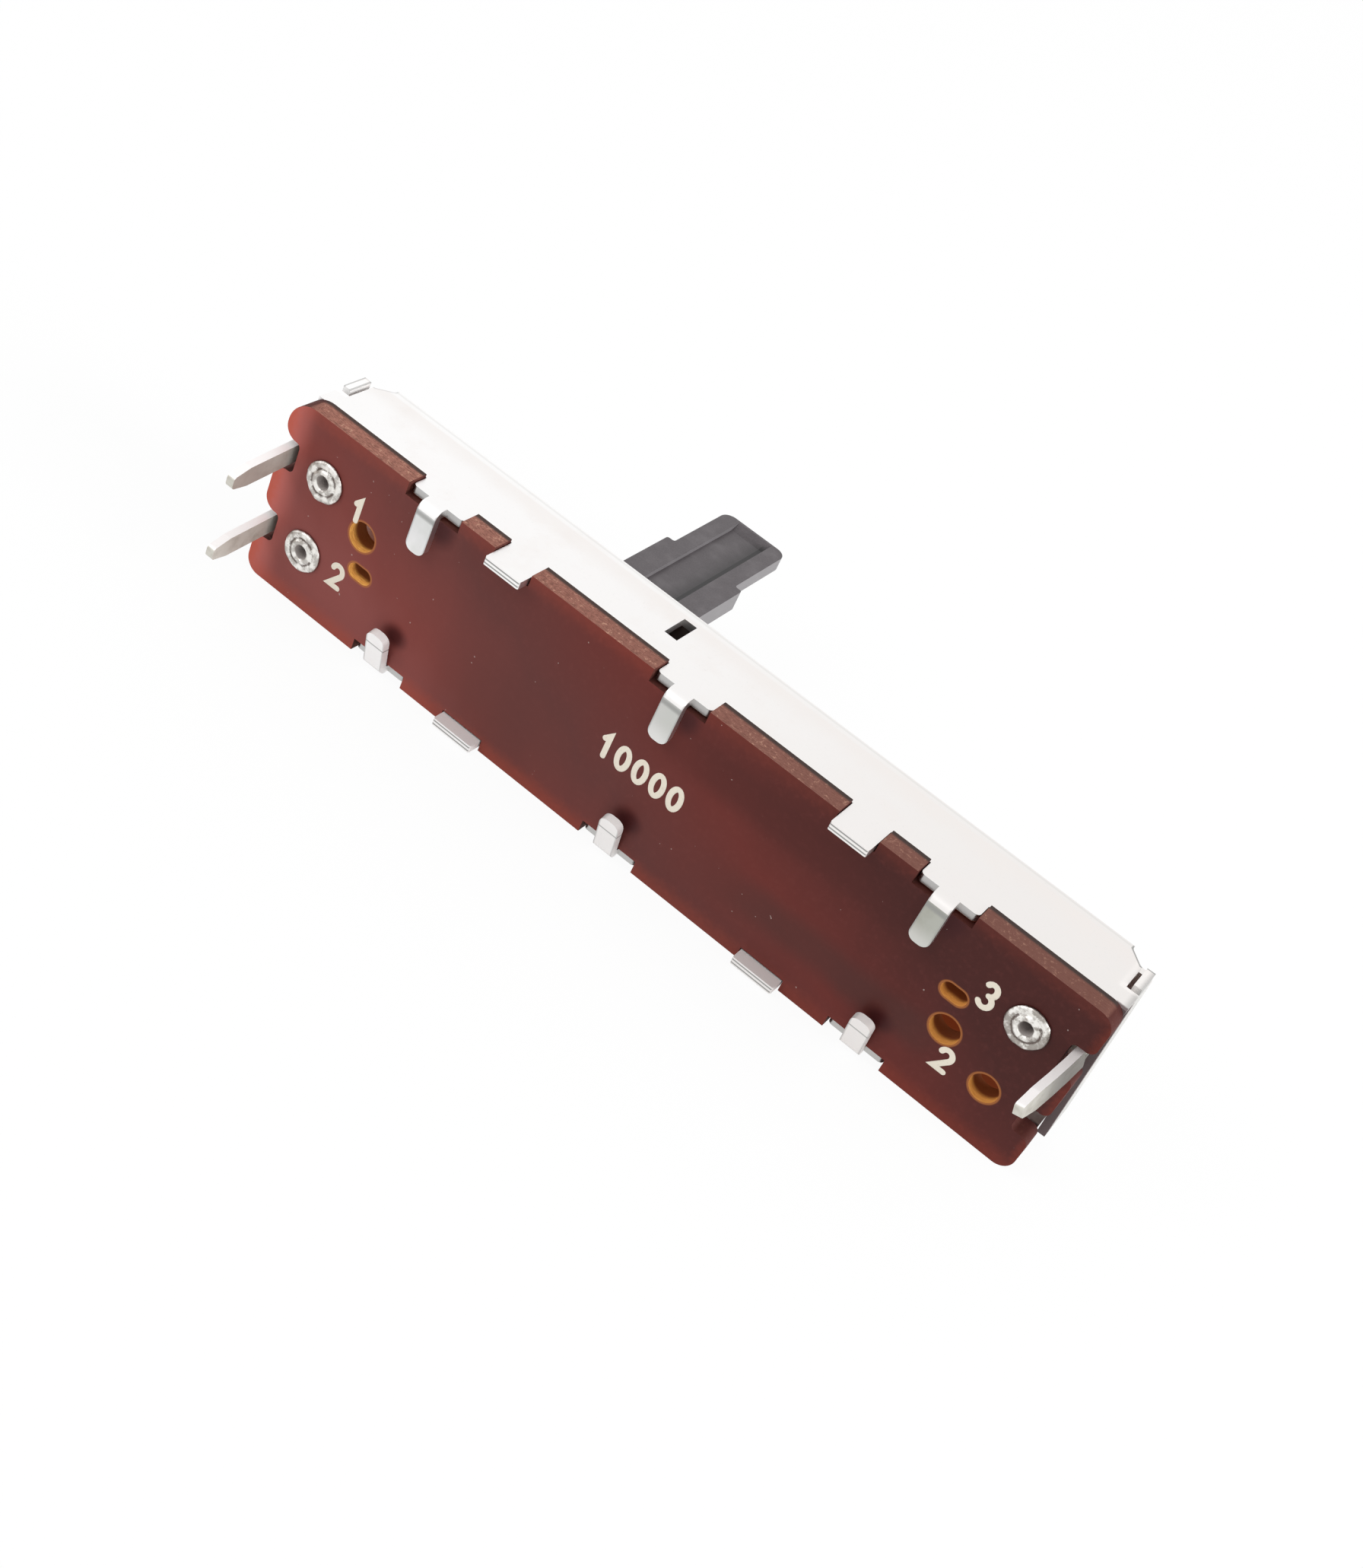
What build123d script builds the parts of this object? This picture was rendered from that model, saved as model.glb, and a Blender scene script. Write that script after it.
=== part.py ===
from build123d import *
import math
import os

# A slide potentiometer that lies on one long side wall, as it lies on a bench.
# Row frame: X runs along the travel, Y out of the panel face along the lever, Z up.
# The origin is the middle of the panel face. All sizes are in millimetres.
# The pieces are drawn upright first: x along the travel, y across, z up the lever,
# with the panel face at z = 0, and are laid on their side when they are written.

# Whole component
travel = 30.0
end_allowance = 15.0
body_width = 9.5
wall_depth = 4.3
slider_rest = -7.1

# Plated sheet of the housing
sheet = 0.4
bend_inside = 0.08
near_wall_past_plate = 0.03
far_wall_short = 0.5
end_plate_gap = 0.05
end_plate_depth = 2.85
end_plate_skew = 2.6
left_plate_in = 0.3
lug_height = 1.5
lug_raise = 0.15
lug_proud = 0.15
lug_gap = 0.2
lug_seat_gap = 0.25
relief_length = 1.4
relief_step = 0.55
relief_depth = 1.23
relief_slope = 0.7

# Crimp tabs, locating tabs and window along the walls
crimp_pitch = 14.0
shoulder_width = 2.96
shoulder_depth = 0.94
crimp_width = 1.05
crimp_tip_radius = 0.42
near_crimp_reach = 2.55
near_crimp_bend = 90.0
far_crimp_reach = 2.4
far_crimp_bend = 75.0
near_tab_place = 9.45
near_tab_width = 2.0
far_tab_place = 8.8
far_tab_width = 2.25
tab_below_board = 0.72
window_place = -2.55
window_width = 0.7
window_height = 1.65
window_depth = 1.05

# Lever slot and panel screw holes
slot_width = 1.6
slot_end_clearance = 0.25
screw_inset = 2.5
screw_hole_radius = 1.0
screw_collar_wall = 0.35
screw_collar_depth = 0.6

# Board
board_thickness = 1.2
board_inset = 0.1
board_overhang = 0.15
board_corner = 0.8
near_left_corner = 1.3
left_lobe_corner = 0.7
right_lobe_corner = 0.4
lobe_flat = 0.05
notch_corner = 0.25
end_notch_width = 1.6
end_notch_depth = 1.0
tab_clearance = 0.06
eyelet_inset = 2.8
eyelet_row = 2.0
eyelet_hole_radius = 0.7
round_hole_inset = 5.5
round_hole_row = 0.8
round_hole_radius = 0.73
slot_hole_inset = 6.0
slot_hole_row = 1.0
slot_hole_length = 1.3
slot_hole_width = 0.8

# Printed layers on the board's inner face
print_thickness = 0.05
track_width = 1.5
track_skirt_gap = 0.3
pad_inner_inset = 6.3

# Eyelets
eyelet_clearance = 0.05
eyelet_wall = 0.33
eyelet_funnel = 0.22
eyelet_head_radius = 1.05
eyelet_head_thickness = 0.24
eyelet_seat_radius = 1.0
eyelet_seat_thickness = 0.18

# Terminals
terminal_thickness = 0.4
terminal_width = 1.0
terminal_eye_radius = 1.3
terminal_bend_inside = 0.15
terminal_inset = 0.45
terminal_length = 4.1
terminal_tip_width = 0.6
terminal_tip_length = 1.1
terminal_lean_in = 4.0
terminal_3_lean_in = 6.5
terminal_3_lean_across = 2.7
terminal_3_twist = 15.0
terminal_3_bow = 0.06

# Slider: carriage and lever in one moulding
carriage_length = 7.0
carriage_side_gap = 0.3
bearing_clearance = 0.07
bearing_length = 1.2
bearing_height = 2.6
skirt_thickness = 0.5
runner_width = 0.95
runner_clearance = 0.05
runner_height = 0.45
deck_thickness = 1.9
lever_height = 14.65
lever_thickness = 1.1
lever_tip_thickness = 0.75
lever_base_width = 4.75
lever_tip_width = 3.9
lever_step_height = 9.6
lever_tip_radius = 0.6
channel_width = 2.1
channel_depth = 0.25
channel_top_gap = 0.15
channel_ramp = 0.6
channel_foot = 0.3
stake_radius = 0.4
stake_head_radius = 0.62
stake_head_height = 0.2
stake_row = 1.3

# Wiper and bow spring
wiper_thickness = 0.15
wiper_bar_length = 1.4
wiper_skirt_gap = 0.35
finger_width = 0.5
finger_gap = 0.2
finger_contact = 0.2
finger_lift = 0.45
finger_tip_rise = 0.3
contact_clearance = 0.03
hole_clearance = 0.04
spring_thickness = 0.12
spring_width = 4.8
spring_opening_width = 2.0
spring_end_strip = 0.45
spring_panel_clearance = 0.04

# Worked-out places
body_length = travel + end_allowance
board_half_length = body_length / 2 - board_inset
half_width = body_width / 2
wall_inner = half_width - sheet
plate_inner_z = -sheet
board_inner_z = -wall_depth
board_outer_z = -wall_depth - board_thickness
end_plate_outer = body_length / 2
end_plate_inner = end_plate_outer - sheet
end_plate_half_width = wall_inner - end_plate_gap
slot_length = travel + lever_base_width + 2 * slot_end_clearance
screw_x = end_plate_outer - screw_inset
eyelet_x = board_half_length - eyelet_inset
print_top_z = board_inner_z + print_thickness
terminal_top_z = print_top_z + terminal_thickness
deck_top_z = plate_inner_z - runner_clearance - runner_height
deck_under_z = deck_top_z - deck_thickness
carriage_half_width = wall_inner - carriage_side_gap
skirt_inner = carriage_half_width - skirt_thickness
track_row = skirt_inner - track_skirt_gap - track_width / 2


def block(x_range, y_range, z_range):
    """A box between pairs of limits."""
    sizes = [high - low for low, high in (x_range, y_range, z_range)]
    middle = [(high + low) / 2 for low, high in (x_range, y_range, z_range)]
    return Pos(*middle) * Box(*sizes)


def both_sides(value):
    return (-value, value)


def post(x, y, radius, z_range):
    """An upright round post between two heights."""
    low, high = z_range
    return Pos(x, y, (low + high) / 2) * Cylinder(radius, high - low)


def edges_near(piece, point, reach):
    """The edges whose middle lies within reach of a point."""
    return [e for e in piece.edges() if (e.center() - Vector(*point)).length < reach]


def strip_across(points, thickness, bend_radius, x_middle, width):
    """A bent strip drawn in the y-z plane as (y, z) points, with its width along x."""
    path = FilletPolyline(*points, radius=bend_radius) if len(points) > 2 else Polyline(*points)
    face = Plane.YZ.offset(x_middle - width / 2) * trace(path, line_width=thickness)
    return extrude(face, width, dir=(1, 0, 0))


def strip_along(points, thickness, bend_radius, y_middle, width):
    """A bent strip drawn in the x-z plane as (x, z) points, with its width along y."""
    path = FilletPolyline(*points, radius=bend_radius) if len(points) > 2 else Polyline(*points)
    face = Plane.XZ.offset(-y_middle - width / 2) * trace(path, line_width=thickness)
    return extrude(face, width, dir=(0, -1, 0))


def channel_section():
    """Top plate and both side walls as one bent sheet, without the ends."""
    outside = bend_inside + sheet
    outer = Rectangle(body_width, wall_depth, align=(Align.CENTER, Align.MAX))
    outer = fillet(outer.vertices().group_by(Axis.Y)[-1], outside)
    inner = Pos(0, -sheet) * Rectangle(2 * wall_inner, wall_depth, align=(Align.CENTER, Align.MAX))
    inner = fillet(inner.vertices().group_by(Axis.Y)[-1], bend_inside)
    return outer - inner


def plate_outer(end, y):
    """How far out from the middle an end plate's outer face stands at a place across the housing."""
    middle = end_plate_outer if end > 0 else end_plate_outer - left_plate_in
    return middle + y * math.tan(math.radians(end_plate_skew))


def end_plate(end):
    """One end plate with its near lug, its bend and a strip of the top plate, turned a little off square."""
    strip = 4 * sheet
    outer = Rectangle(strip, end_plate_depth, align=(Align.MAX, Align.MAX))
    outer = fillet(outer.vertices().group_by(Axis.Y)[-1].sort_by(Axis.X)[-1], bend_inside + sheet)
    inner = Rectangle(strip, end_plate_depth, align=(Align.MAX, Align.MAX))
    inner = fillet(inner.vertices().group_by(Axis.Y)[-1].sort_by(Axis.X)[-1], bend_inside)
    section = Plane.XZ.offset(-end_plate_half_width) * (outer - Pos(-sheet, -sheet) * inner)
    plate = extrude(section, 2 * end_plate_half_width, dir=(0, -1, 0))
    lug_bottom = lug_raise - end_plate_depth
    lug_reach = (-half_width - lug_proud, sheet - end_plate_half_width)
    plate += block((-sheet, 0), lug_reach, (lug_bottom, lug_bottom + lug_height))
    plate = Pos(plate_outer(end, 0), 0, 0) * Rot(0, 0, -end_plate_skew) * plate
    return plate if end > 0 else mirror(plate, about=Plane.YZ)


def wall_end(end, side):
    """How far out from the middle a side wall ends."""
    past_plate = near_wall_past_plate if side < 0 else -far_wall_short
    return plate_outer(end, side * half_width) + past_plate


def corner_relief(end, side):
    """What is notched out of the sheet where a side wall and an end plate meet the top plate."""
    finish = wall_end(end, side)
    start = finish - relief_length
    outline = Polyline(
        (start, sheet), (start, -relief_step), (start + relief_slope, -relief_depth),
        (finish + sheet, -relief_depth), (finish + sheet, sheet), close=True,
    )
    face = make_face(outline)
    turns = [v for v in face.vertices() if v.X < start + relief_slope + 1e-6 and v.Y < 0]
    face = fillet(turns, relief_step / 2)
    inner_edge = wall_inner - bend_inside - sheet
    shape = extrude(Plane.XZ.offset(-half_width - 1) * face, half_width + 1 - inner_edge, dir=(0, -1, 0))
    if side < 0:
        shape = mirror(shape, about=Plane.XZ)
    return shape if end > 0 else mirror(shape, about=Plane.YZ)


def crimp_tab(place, side):
    """A narrow tab that leaves its shoulder, turns round the board's edge and lies on its face."""
    bend, full_reach = (near_crimp_bend, near_crimp_reach) if side < 0 else (far_crimp_bend, far_crimp_reach)
    middle = half_width - sheet / 2
    turn_z = board_outer_z - sheet / 2
    angle = math.radians(bend)
    reach = full_reach - sheet / 2
    tip = (middle - reach * math.sin(angle), turn_z - reach * math.cos(angle))
    points = [(middle, -wall_depth), (middle, turn_z), tip]
    tab = strip_across(points, sheet, bend_inside + sheet / 2, place, crimp_width)
    corners = []
    for edge_x in both_sides(crimp_width / 2):
        corners += edges_near(tab, (place + edge_x, tip[0], tip[1]), sheet / 4)
    tab = fillet(corners, crimp_tip_radius)
    return tab if side > 0 else mirror(tab, about=Plane.XZ)


def wall_tabs(side):
    """Shoulders with crimp tabs, and the straight locating tabs, of one side wall."""
    y_range = sorted((side * wall_inner, side * half_width))
    pieces = []
    for place in (-crimp_pitch, 0.0, crimp_pitch):
        x_range = (place - shoulder_width / 2, place + shoulder_width / 2)
        shoulder = block(x_range, y_range, (-wall_depth - shoulder_depth, -wall_depth + sheet))
        lower = shoulder.edges().filter_by(Axis.Y).group_by(Axis.Z)[0]
        pieces.append(fillet(lower, shoulder_depth / 4))
        pieces.append(crimp_tab(place, side))
    place, width = (near_tab_place, near_tab_width) if side < 0 else (far_tab_place, far_tab_width)
    for middle in both_sides(place):
        x_range = (middle - width / 2, middle + width / 2)
        tab = block(x_range, y_range, (board_outer_z - tab_below_board, -wall_depth + sheet))
        lower = tab.edges().filter_by(Axis.Y).group_by(Axis.Z)[0]
        pieces.append(fillet(lower, sheet / 4))
    return pieces


def make_housing():
    """The plated sheet housing: panel face, side walls, end plates, tabs and holes in one piece."""
    flat_end = plate_outer(-1, -half_width) - 2 * sheet
    body = extrude(Plane.YZ.offset(-flat_end) * channel_section(), 2 * flat_end, dir=(1, 0, 0))
    lug_seat = lug_raise - end_plate_depth - lug_seat_gap
    for end in (-1, 1):
        body += end_plate(end)
        top_strip = sorted((end * (flat_end - sheet), end * (plate_outer(end, 0) - 2 * sheet)))
        body += block(top_strip, both_sides(end_plate_half_width), (-sheet, 0))
        for side in (-1, 1):
            y_range = sorted((side * wall_inner, side * half_width))
            x_range = sorted((end * (flat_end - sheet), end * wall_end(end, side)))
            body += block(x_range, y_range, (-wall_depth, -relief_step))
            body -= corner_relief(end, side)
        notch_start = plate_outer(end, -half_width) - sheet - lug_gap
        notch = sorted((end * notch_start, end * (notch_start + 2 * sheet + lug_gap)))
        lug_slot = (-half_width - sheet, -end_plate_half_width - end_plate_gap)
        body -= block(notch, lug_slot, (lug_seat, -relief_step / 2)) - end_plate(end)
    for side in (-1, 1):
        for piece in wall_tabs(side):
            body += piece
    window = block(
        (window_place - window_width / 2, window_place + window_width / 2),
        (-half_width - sheet, -wall_inner + sheet),
        (-window_depth - window_height, -window_depth),
    )
    body -= window
    for x in both_sides(screw_x):
        collar = screw_hole_radius + screw_collar_wall
        body += post(x, 0, collar, (-sheet - screw_collar_depth, -sheet / 2))
        body -= post(x, 0, screw_hole_radius, (-sheet - screw_collar_depth - 1, 1))
    slot = SlotOverall(slot_length, slot_width)
    body -= extrude(Pos(0, 0, -2 * sheet) * slot, 3 * sheet)
    return body


def make_board():
    """The phenolic board that closes the housing, lobed at its ends and notched for the tabs."""
    width = body_width + 2 * board_overhang
    outline = Rectangle(2 * board_half_length, width)
    for end in (-1, 1):
        for row in both_sides(eyelet_row):
            notch = Rectangle(2 * end_notch_depth, end_notch_width)
            outline -= Pos(end * board_half_length, row) * notch
    corners = [v for v in outline.vertices() if abs(abs(v.Y) - width / 2) < 1e-6]
    others = sorted(corners, key=lambda v: v.X + v.Y)[1:]
    outline = fillet(others, board_corner)
    near_left = min(outline.vertices(), key=lambda v: v.X + v.Y)
    lobe = width / 2 - eyelet_row - end_notch_width / 2
    outline = fillet(near_left, min(near_left_corner, lobe - left_lobe_corner - lobe_flat))
    for end, corner in ((-1, left_lobe_corner), (1, right_lobe_corner)):
        ends = [v for v in outline.vertices() if abs(end * v.X - board_half_length) < 1e-6]
        lobes = [v for v in ends if abs(abs(abs(v.Y) - eyelet_row) - end_notch_width / 2) < 1e-6]
        outline = fillet(lobes, corner)
    deep = [v for v in outline.vertices() if abs(abs(v.X) - board_half_length + end_notch_depth) < 1e-6]
    outline = fillet(deep, notch_corner)
    for side in (-1, 1):
        crimp_floor = wall_inner - bend_inside - tab_clearance / 2
        for place in (-crimp_pitch, 0.0, crimp_pitch):
            depth = width / 2 - crimp_floor
            notch = Rectangle(shoulder_width + 2 * tab_clearance, 2 * depth)
            outline -= Pos(place, side * width / 2) * notch
        place, tab = (near_tab_place, near_tab_width) if side < 0 else (far_tab_place, far_tab_width)
        depth = width / 2 - wall_inner + tab_clearance
        for middle in both_sides(place):
            notch = Rectangle(tab + 2 * tab_clearance, 2 * depth)
            outline -= Pos(middle, side * width / 2) * notch
    for end in (-1, 1):
        for row in both_sides(eyelet_row):
            outline -= Pos(end * eyelet_x, row) * Circle(eyelet_hole_radius)
        round_x = end * (board_half_length - round_hole_inset)
        outline -= Pos(round_x, end * round_hole_row) * Circle(round_hole_radius)
        slot_x = end * (board_half_length - slot_hole_inset)
        outline -= Pos(slot_x, -end * slot_hole_row) * SlotOverall(slot_hole_length, slot_hole_width)
    return extrude(Pos(0, 0, board_outer_z) * outline, board_thickness)


def make_track(row):
    """One printed track between the pads."""
    half = board_half_length - pad_inner_inset
    y_range = (row - track_width / 2, row + track_width / 2)
    return block((-half, half), y_range, (board_inner_z, print_top_z))


def make_pad(end, row_side):
    """A printed silver pad, from the end of its track to under the terminal's eye."""
    inner_x = board_half_length - pad_inner_inset
    lead = Rectangle(eyelet_x - inner_x, track_width)
    shape = Pos(end * (inner_x + eyelet_x) / 2, row_side * track_row) * lead
    centre = Pos(end * eyelet_x, row_side * eyelet_row)
    shape += centre * Circle(terminal_eye_radius + eyelet_clearance)
    shape -= centre * Circle(eyelet_hole_radius + eyelet_clearance)
    return extrude(Pos(0, 0, board_inner_z) * shape, print_thickness)


def make_eyelet(end, row_side):
    """A hollow eyelet that clamps the terminal to the board, with its rolled head outside."""
    shank = eyelet_hole_radius - eyelet_clearance
    bore = shank - eyelet_wall
    head_z = board_outer_z - eyelet_head_thickness
    seat_z = terminal_top_z + eyelet_seat_thickness
    outline = Polyline(
        (bore, head_z + eyelet_funnel), (bore + eyelet_funnel, head_z), (eyelet_head_radius, head_z),
        (eyelet_head_radius, board_outer_z), (shank, board_outer_z), (shank, terminal_top_z),
        (eyelet_seat_radius, terminal_top_z), (eyelet_seat_radius, seat_z), (bore, seat_z), close=True,
    )
    face = Plane.XZ * make_face(outline)
    eyelet = revolve(face, Axis.Z)
    rim = [e for e in eyelet.edges().filter_by(GeomType.CIRCLE) if abs(e.radius - eyelet_head_radius) < 1e-6]
    rim = [e for e in rim if abs(e.center().Z - head_z) < 1e-6]
    eyelet = chamfer(rim, eyelet_head_thickness / 2)
    return Pos(end * eyelet_x, row_side * eyelet_row, 0) * eyelet


def make_terminal(end, row_side, lean_in=terminal_lean_in, lean_across=0.0, twist=0.0, bow=0.0):
    """A flat terminal: eye on the pad, strip out over the board's end notch, pin down past it."""
    middle_z = print_top_z + terminal_thickness / 2
    pin_x = board_half_length - terminal_inset
    bend = terminal_bend_inside + terminal_thickness / 2
    turn_z = middle_z - bend - terminal_thickness
    points = [(eyelet_x, middle_z), (pin_x, middle_z), (pin_x, turn_z)]
    arm = strip_along(points, terminal_thickness, bend, 0, terminal_width)
    eye = post(eyelet_x, 0, terminal_eye_radius, (print_top_z, terminal_top_z))
    arm += eye
    arm -= post(eyelet_x, 0, eyelet_hole_radius, (print_top_z - 1, terminal_top_z + 1))
    length = turn_z - board_outer_z + terminal_length
    half, tip_half = terminal_width / 2, terminal_tip_width / 2
    outline = Polyline(
        (-half, 0), (-half, terminal_tip_length - length), (-tip_half, -length),
        (tip_half, -length), (half, terminal_tip_length - length), (half, 0), close=True,
    )
    face = make_face(outline)
    face = fillet(face.vertices().group_by(Axis.Y)[0], tip_half * 0.8)
    face = fillet(face.vertices().group_by(Axis.Y)[-2], tip_half)
    shadow = extrude(Plane.YZ.offset(-terminal_length) * face, 2 * terminal_length, dir=(1, 0, 0))
    foot = -math.tan(math.radians(lean_in)) * length
    line = Line((0, 0), (foot, -length))
    if bow:
        line = ThreePointArc((0, 0), (foot / 2 + bow, -length / 2), (foot, -length))
    strip = Plane.XZ.offset(-terminal_width) * trace(line, line_width=terminal_thickness)
    pin = extrude(strip, 2 * terminal_width, dir=(0, -1, 0)) & shadow
    pin = Rot(-lean_across * row_side, 0, twist * row_side) * pin
    arm += Pos(pin_x, 0, turn_z) * pin
    arm += Pos(pin_x, 0, turn_z) * Rot(90, 0, 0) * Cylinder(terminal_thickness / 2, terminal_width)
    terminal = Pos(0, eyelet_row * row_side, 0) * arm
    return terminal if end > 0 else mirror(terminal, about=Plane.YZ)


def lever_blade():
    """The lever: a wide foot and a narrower blade with a shallow channel down each face."""
    half, tip_half = lever_base_width / 2, lever_tip_width / 2
    outline = Polyline(
        (-half, deck_top_z - sheet), (-half, lever_step_height), (-tip_half, lever_step_height),
        (-tip_half, lever_height), (tip_half, lever_height), (tip_half, lever_step_height),
        (half, lever_step_height), (half, deck_top_z - sheet), close=True,
    )
    face = make_face(outline)
    face = fillet(face.vertices().group_by(Axis.Y)[-1], lever_tip_radius)
    steps = [v for v in face.vertices() if abs(v.Y - lever_step_height) < 1e-6]
    face = fillet(steps, (half - tip_half) / 3)
    blade = extrude(Plane.XZ.offset(-lever_thickness / 2) * face, lever_thickness, dir=(0, -1, 0))
    near_face = -lever_thickness / 2
    far_relief = (near_face + lever_tip_thickness, lever_thickness)
    blade -= block(both_sides(half), far_relief, (lever_step_height, lever_height + 1))
    channel_top = lever_height - channel_top_gap
    section = Polyline(
        (near_face, channel_foot), (near_face + channel_depth, channel_foot),
        (near_face + channel_depth, channel_top - channel_ramp), (near_face, channel_top), close=True,
    )
    channel = extrude(Plane.YZ.offset(-channel_width / 2) * make_face(section), channel_width, dir=(1, 0, 0))
    blade -= channel
    blade -= mirror(channel, about=Plane.XZ)
    return blade


def make_slider():
    """Carriage and lever in one moulding: deck, skirts, bearing pads, runners and wiper stakes."""
    half = carriage_length / 2
    body = block(both_sides(half), both_sides(carriage_half_width), (deck_under_z, deck_top_z))
    foot_z = board_inner_z + runner_clearance
    for side in (-1, 1):
        skirt = sorted((side * skirt_inner, side * carriage_half_width))
        body += block(both_sides(half), skirt, (foot_z, deck_under_z + sheet))
        runner = sorted((side * (carriage_half_width - runner_width), side * carriage_half_width))
        rail = block(both_sides(half), runner, (deck_top_z - sheet, plate_inner_z - runner_clearance))
        ends = rail.edges().filter_by(Axis.Y).group_by(Axis.Z)[-1]
        body += fillet(ends, runner_height / 2)
        for end in (-1, 1):
            middle = end * (half - bearing_length)
            x_range = (middle - bearing_length / 2, middle + bearing_length / 2)
            pad = sorted((side * (carriage_half_width - sheet), side * (wall_inner - bearing_clearance)))
            low = foot_z + runner_height
            pad = block(x_range, pad, (low, low + bearing_height))
            edge = pad.edges().filter_by(Axis.Z).group_by(Axis.Y)[0 if side < 0 else -1]
            body += chamfer(edge, carriage_side_gap / 3)
        stake_x = wiper_bar_length / 2 - half + finger_gap
        body += post(stake_x, side * stake_row, stake_radius, (deck_under_z - wiper_thickness, deck_under_z + sheet))
        head_z = deck_under_z - wiper_thickness
        head = post(stake_x, side * stake_row, stake_head_radius, (head_z - stake_head_height, head_z))
        rim = head.edges().group_by(Axis.Z)[0]
        body += chamfer(rim, stake_head_height / 2)
    body += lever_blade()
    return Pos(slider_rest, 0, 0) * body


def make_wiper():
    """One stamped spring under the deck, with two split fingers that bridge the two tracks."""
    half = carriage_length / 2
    bar_start = finger_gap - half
    bar_end = bar_start + wiper_bar_length
    top = deck_under_z
    reach = skirt_inner - wiper_skirt_gap
    wiper = block((bar_start, bar_end), both_sides(reach), (top - wiper_thickness, top))
    contact_z = print_top_z + contact_clearance + wiper_thickness / 2
    path = [
        (bar_start + finger_gap, top - wiper_thickness / 2), (bar_end + finger_lift, top - wiper_thickness / 2),
        (finger_contact, contact_z), (finger_contact + finger_lift, contact_z + finger_tip_rise),
    ]
    for side in (-1, 1):
        for offset in both_sides((finger_width + finger_gap) / 2):
            row = side * track_row + offset
            wiper += strip_along(path, wiper_thickness, wiper_thickness, row, finger_width)
        stake_x = wiper_bar_length / 2 - half + finger_gap
        hole = stake_radius + hole_clearance
        wiper -= post(stake_x, side * stake_row, hole, (top - 1, top + 1))
    return Pos(slider_rest, 0, 0) * wiper


def make_bow_spring():
    """A bowed leaf ring round the lever's foot that presses the carriage down off the panel plate."""
    half = carriage_length / 2
    crown = plate_inner_z - spring_panel_clearance
    rise = crown - spring_thickness - deck_top_z
    upper = ThreePointArc((-half, deck_top_z + spring_thickness), (0, crown), (half, deck_top_z + spring_thickness))
    lower = ThreePointArc((half, deck_top_z), (0, deck_top_z + rise), (-half, deck_top_z))
    start = Line((half, deck_top_z + spring_thickness), (half, deck_top_z))
    finish = Line((-half, deck_top_z), (-half, deck_top_z + spring_thickness))
    face = make_face([upper, start, lower, finish])
    leaf = extrude(Plane.XZ.offset(-spring_width / 2) * face, spring_width, dir=(0, -1, 0))
    opening = both_sides(half - spring_end_strip)
    leaf -= block(opening, both_sides(spring_opening_width / 2), (deck_top_z - 1, plate_inner_z + 1))
    return Pos(slider_rest, 0, 0) * leaf


def all_pieces():
    """Every piece of the component by name, upright."""
    return {
        "housing": make_housing(),
        "board": make_board(),
        "resistive_track": make_track(-track_row),
        "collector_track": make_track(track_row),
        "pad_1": make_pad(-1, -1),
        "pad_2": make_pad(-1, 1),
        "pad_3": make_pad(1, -1),
        "terminal_1": make_terminal(-1, -1),
        "terminal_2": make_terminal(-1, 1),
        "terminal_3": make_terminal(
            1, -1, terminal_3_lean_in, terminal_3_lean_across, terminal_3_twist, terminal_3_bow
        ),
        "eyelet_1": make_eyelet(-1, -1),
        "eyelet_2": make_eyelet(-1, 1),
        "eyelet_3": make_eyelet(1, -1),
        "slider": make_slider(),
        "wiper": make_wiper(),
        "bow_spring": make_bow_spring(),
    }


os.makedirs("parts", exist_ok=True)
lay_on_side = Rot(-90, 0, 0)
for name, piece in all_pieces().items():
    laid = lay_on_side * piece
    export_step(laid, f"parts/{name}.step")
    print(name, round(laid.volume, 3), "mm3")
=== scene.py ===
import math
from functools import reduce

import bmesh
import bpy
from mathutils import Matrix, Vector, noise


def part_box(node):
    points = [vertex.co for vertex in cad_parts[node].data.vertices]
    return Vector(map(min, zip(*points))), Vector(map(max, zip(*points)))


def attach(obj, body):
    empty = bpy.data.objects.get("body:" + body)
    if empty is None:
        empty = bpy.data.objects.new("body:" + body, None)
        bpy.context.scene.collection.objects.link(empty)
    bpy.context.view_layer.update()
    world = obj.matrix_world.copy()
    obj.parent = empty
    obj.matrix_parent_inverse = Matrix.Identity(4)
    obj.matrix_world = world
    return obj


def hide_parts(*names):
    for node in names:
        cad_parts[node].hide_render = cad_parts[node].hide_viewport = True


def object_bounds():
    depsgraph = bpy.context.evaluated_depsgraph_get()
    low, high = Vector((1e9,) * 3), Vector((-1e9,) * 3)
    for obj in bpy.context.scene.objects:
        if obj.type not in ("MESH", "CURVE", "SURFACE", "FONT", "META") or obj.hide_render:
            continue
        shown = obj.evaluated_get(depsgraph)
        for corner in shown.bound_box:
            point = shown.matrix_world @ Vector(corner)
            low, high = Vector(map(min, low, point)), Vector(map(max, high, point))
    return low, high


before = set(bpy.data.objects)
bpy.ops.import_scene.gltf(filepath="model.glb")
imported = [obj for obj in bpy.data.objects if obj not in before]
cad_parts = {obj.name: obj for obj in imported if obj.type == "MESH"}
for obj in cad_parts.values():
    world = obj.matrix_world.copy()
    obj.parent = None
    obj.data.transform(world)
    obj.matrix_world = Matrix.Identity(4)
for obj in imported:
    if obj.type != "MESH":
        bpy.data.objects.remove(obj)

bl_info = {
    "name": "Slide Potentiometer Dressing",
    "version": (1, 0, 0),
    "blender": (4, 5, 0),
    "location": "View3D > Sidebar > Potentiometer",
    "description": "Finishes a slide potentiometer: plated housing, printed board, riveted terminals and lever",
    "category": "Object",
}

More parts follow.
